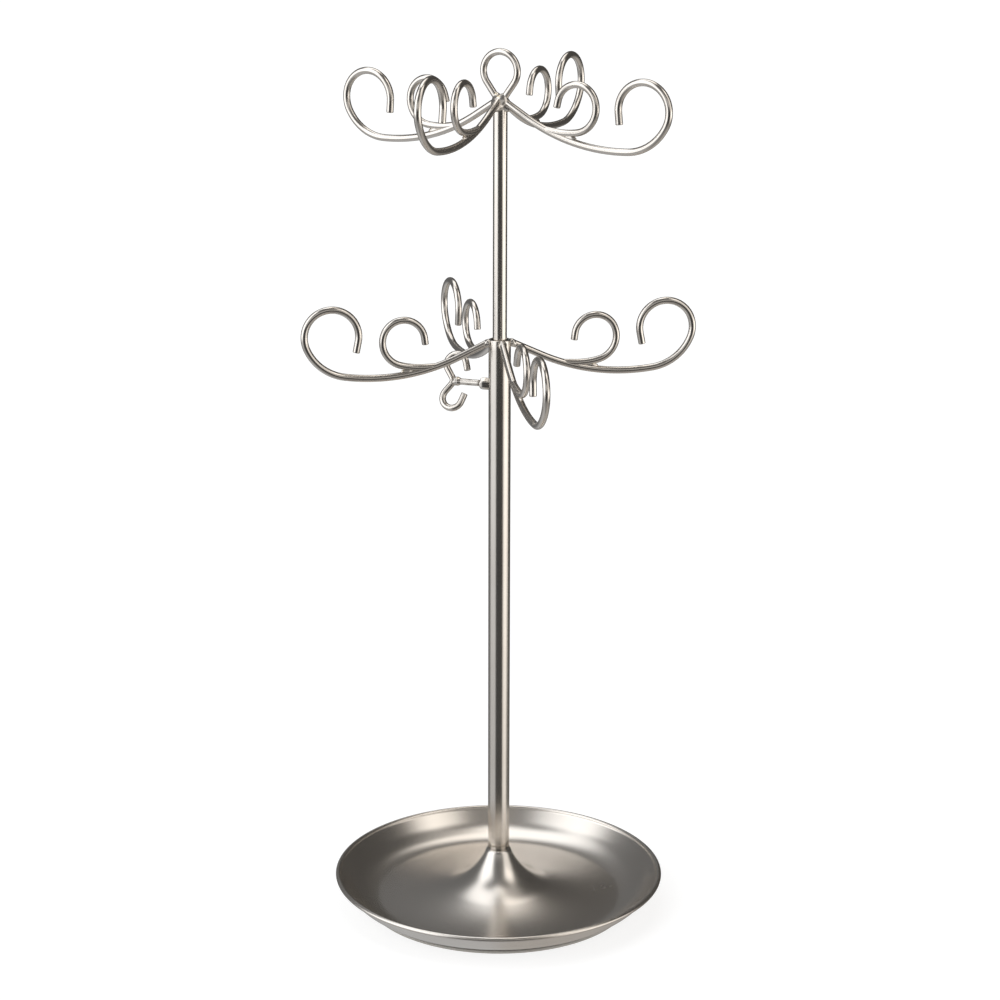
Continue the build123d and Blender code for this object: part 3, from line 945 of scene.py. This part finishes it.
# %% Floor
FLOOR_HALF = 12.0
floor_mesh = bpy.data.meshes.new("floor")
corners = [(-FLOOR_HALF, -FLOOR_HALF, 0), (FLOOR_HALF, -FLOOR_HALF, 0),
           (FLOOR_HALF, FLOOR_HALF, 0), (-FLOOR_HALF, FLOOR_HALF, 0)]
floor_mesh.from_pydata(corners, [], [(0, 1, 2, 3)])
floor = bpy.data.objects.new("floor", floor_mesh)
bpy.context.scene.collection.objects.link(floor)
floor_material = bpy.data.materials.new("floor")
graph = Graph(floor_material)
paper = {"Base Color": (0.35, 0.35, 0.35, 1), "Roughness": 0.9, "Specular IOR Level": 0.0,
         "Emission Strength": 0.80, "Emission Color": (1, 1, 1, 1)}
shader = graph.node("BsdfPrincipled", {}, paper)
graph.node("OutputMaterial", {}, {"Surface": shader})
floor_mesh.materials.append(floor_material)
floor.visible_glossy = False
print("floor ready")

# %% [markdown]
# ## Camera
# A long lens stands at a little over a metre, a bit to the left, and looks down about 15 degrees.
# It shows the dish as an open ellipse and keeps the two tiers nearly level.

# %% Camera
CAMERA_AZIMUTH = -12.4
CAMERA_DISTANCE = 1065.45 * MM
CAMERA_HEIGHT = 490.1 * MM
CAMERA_SIDE = 0.28 * MM
CAMERA_PITCH = 15.513
CAMERA_ROLL = 0.141
CAMERA_LENS = 87.91
camera_data = bpy.data.cameras.new("camera")
camera = bpy.data.objects.new("camera", camera_data)
bpy.context.scene.collection.objects.link(camera)
camera_data.sensor_width = 36.0
camera_data.lens = CAMERA_LENS
turn = radians(CAMERA_AZIMUTH)
aim = Matrix.Rotation(turn, 4, "Z")
place = aim @ Matrix.Translation((CAMERA_SIDE, -CAMERA_DISTANCE, CAMERA_HEIGHT))
tilt = Matrix.Rotation(radians(90 - CAMERA_PITCH), 4, "X")
camera.matrix_world = place @ tilt @ Matrix.Rotation(radians(CAMERA_ROLL), 4, "Z")
bpy.context.scene.camera = camera
bpy.context.scene.view_settings.view_transform = "Standard"

print("camera at", [round(v, 3) for v in camera.matrix_world.translation])

# %% [markdown]
# ## Light
# The world is a dark room in which soft panels hang. Each panel is a patch of even brightness
# between two azimuths and two elevations, and a later panel covers an earlier one. The left one is
# tall and even, the right one is brighter at its ends, and the ceiling behind the object is bright,
# which gives the dish its shine. The dark gap in front draws the dark middle line of the post.

# %% Light
GROUND_GLOW = 0.42
CEILING = 2.0
COOL, WARM = (0.965, 0.98, 1.0, 1), (1.0, 0.965, 0.92, 1)
# Each panel: brightness, west and east azimuth, bottom and top elevation, softness, in degrees.
PANELS = (
    (0.30, -34, 34, -80, -28, 9),
    (0.06, -34, 34, -30, 3, 7),
    (0.62, -34, 34, 5, 27, 7),
    (0.16, -32, 34, 30, 76, 7),
    (0.60, -105, -38, -30, -12, 5),
    (1.85, -101, -38, -13, 62, 7),
    (1.10, 38, 84, -28, 60, 7),
    (1.95, 50, 101, -17, 1, 7),
    (1.90, 42, 84, 44, 62, 7),
    (1.75, -200, -98, 51, 100, 7),
    (0.55, 84, 150, 61, 100, 7),
    (1.75, 150, 200, 50, 100, 7),
)


def studio(world):
    """Brightness by direction: azimuth in degrees from the front, positive right, and elevation."""
    graph = Graph(world)
    way = graph.node("TexCoord", output="Generated")

    def along(axis):
        values = {0: way, 1: axis}
        return graph.node("VectorMath", {"operation": "DOT_PRODUCT"}, values, output="Value")

    def between(value, low, high, soft):
        """One inside the range and zero outside it, with soft edges."""
        rise = graph.smooth(value, low - soft, low + soft)
        return rise * graph.smooth(value, high - soft, high + soft, 1.0, 0.0)

    forward, across = along((sin(turn), -cos(turn), 0)), along((cos(turn), sin(turn), 0))
    up = along((0, 0, 1))
    azimuth = up.maths("ARCTAN2", across, forward) * degrees(1)
    elevation = up.maths("ARCSINE", up) * degrees(1)
    ground = graph.smooth(elevation, -52, -10, 1.0, 0.0)
    light = graph.smooth(azimuth, -60, 60, 0.16, 0.08) + ground * GROUND_GLOW
    for level, west, east, bottom, top, soft in PANELS:
        mask = between(azimuth, west, east, soft) * between(elevation, bottom, top, soft)
        light = light + (level - light) * mask
    light = light + (CEILING - light) * graph.smooth(elevation, 77, 85)
    shade = graph.blend(graph.smooth(azimuth, -50, 50), COOL, WARM)
    colour = graph.node("Background", {}, {"Color": shade, "Strength": light})
    pale = graph.node("Background", {}, {"Color": (1, 1, 1, 1), "Strength": 1.0})
    seen = graph.node("LightPath", output="Is Camera Ray")
    mixed = graph.node("MixShader", {}, {0: seen, 1: colour, 2: pale})
    graph.node("OutputWorld", {}, {"Surface": mixed})


world = bpy.data.worlds.new("studio")
bpy.context.scene.world = world
studio(world)
print("studio ready:", len(PANELS), "panels")

# %% [markdown]
# ## The end
# The last cell brings the view layer up to date, and the script ends.

# %% The end
bpy.context.view_layer.update()
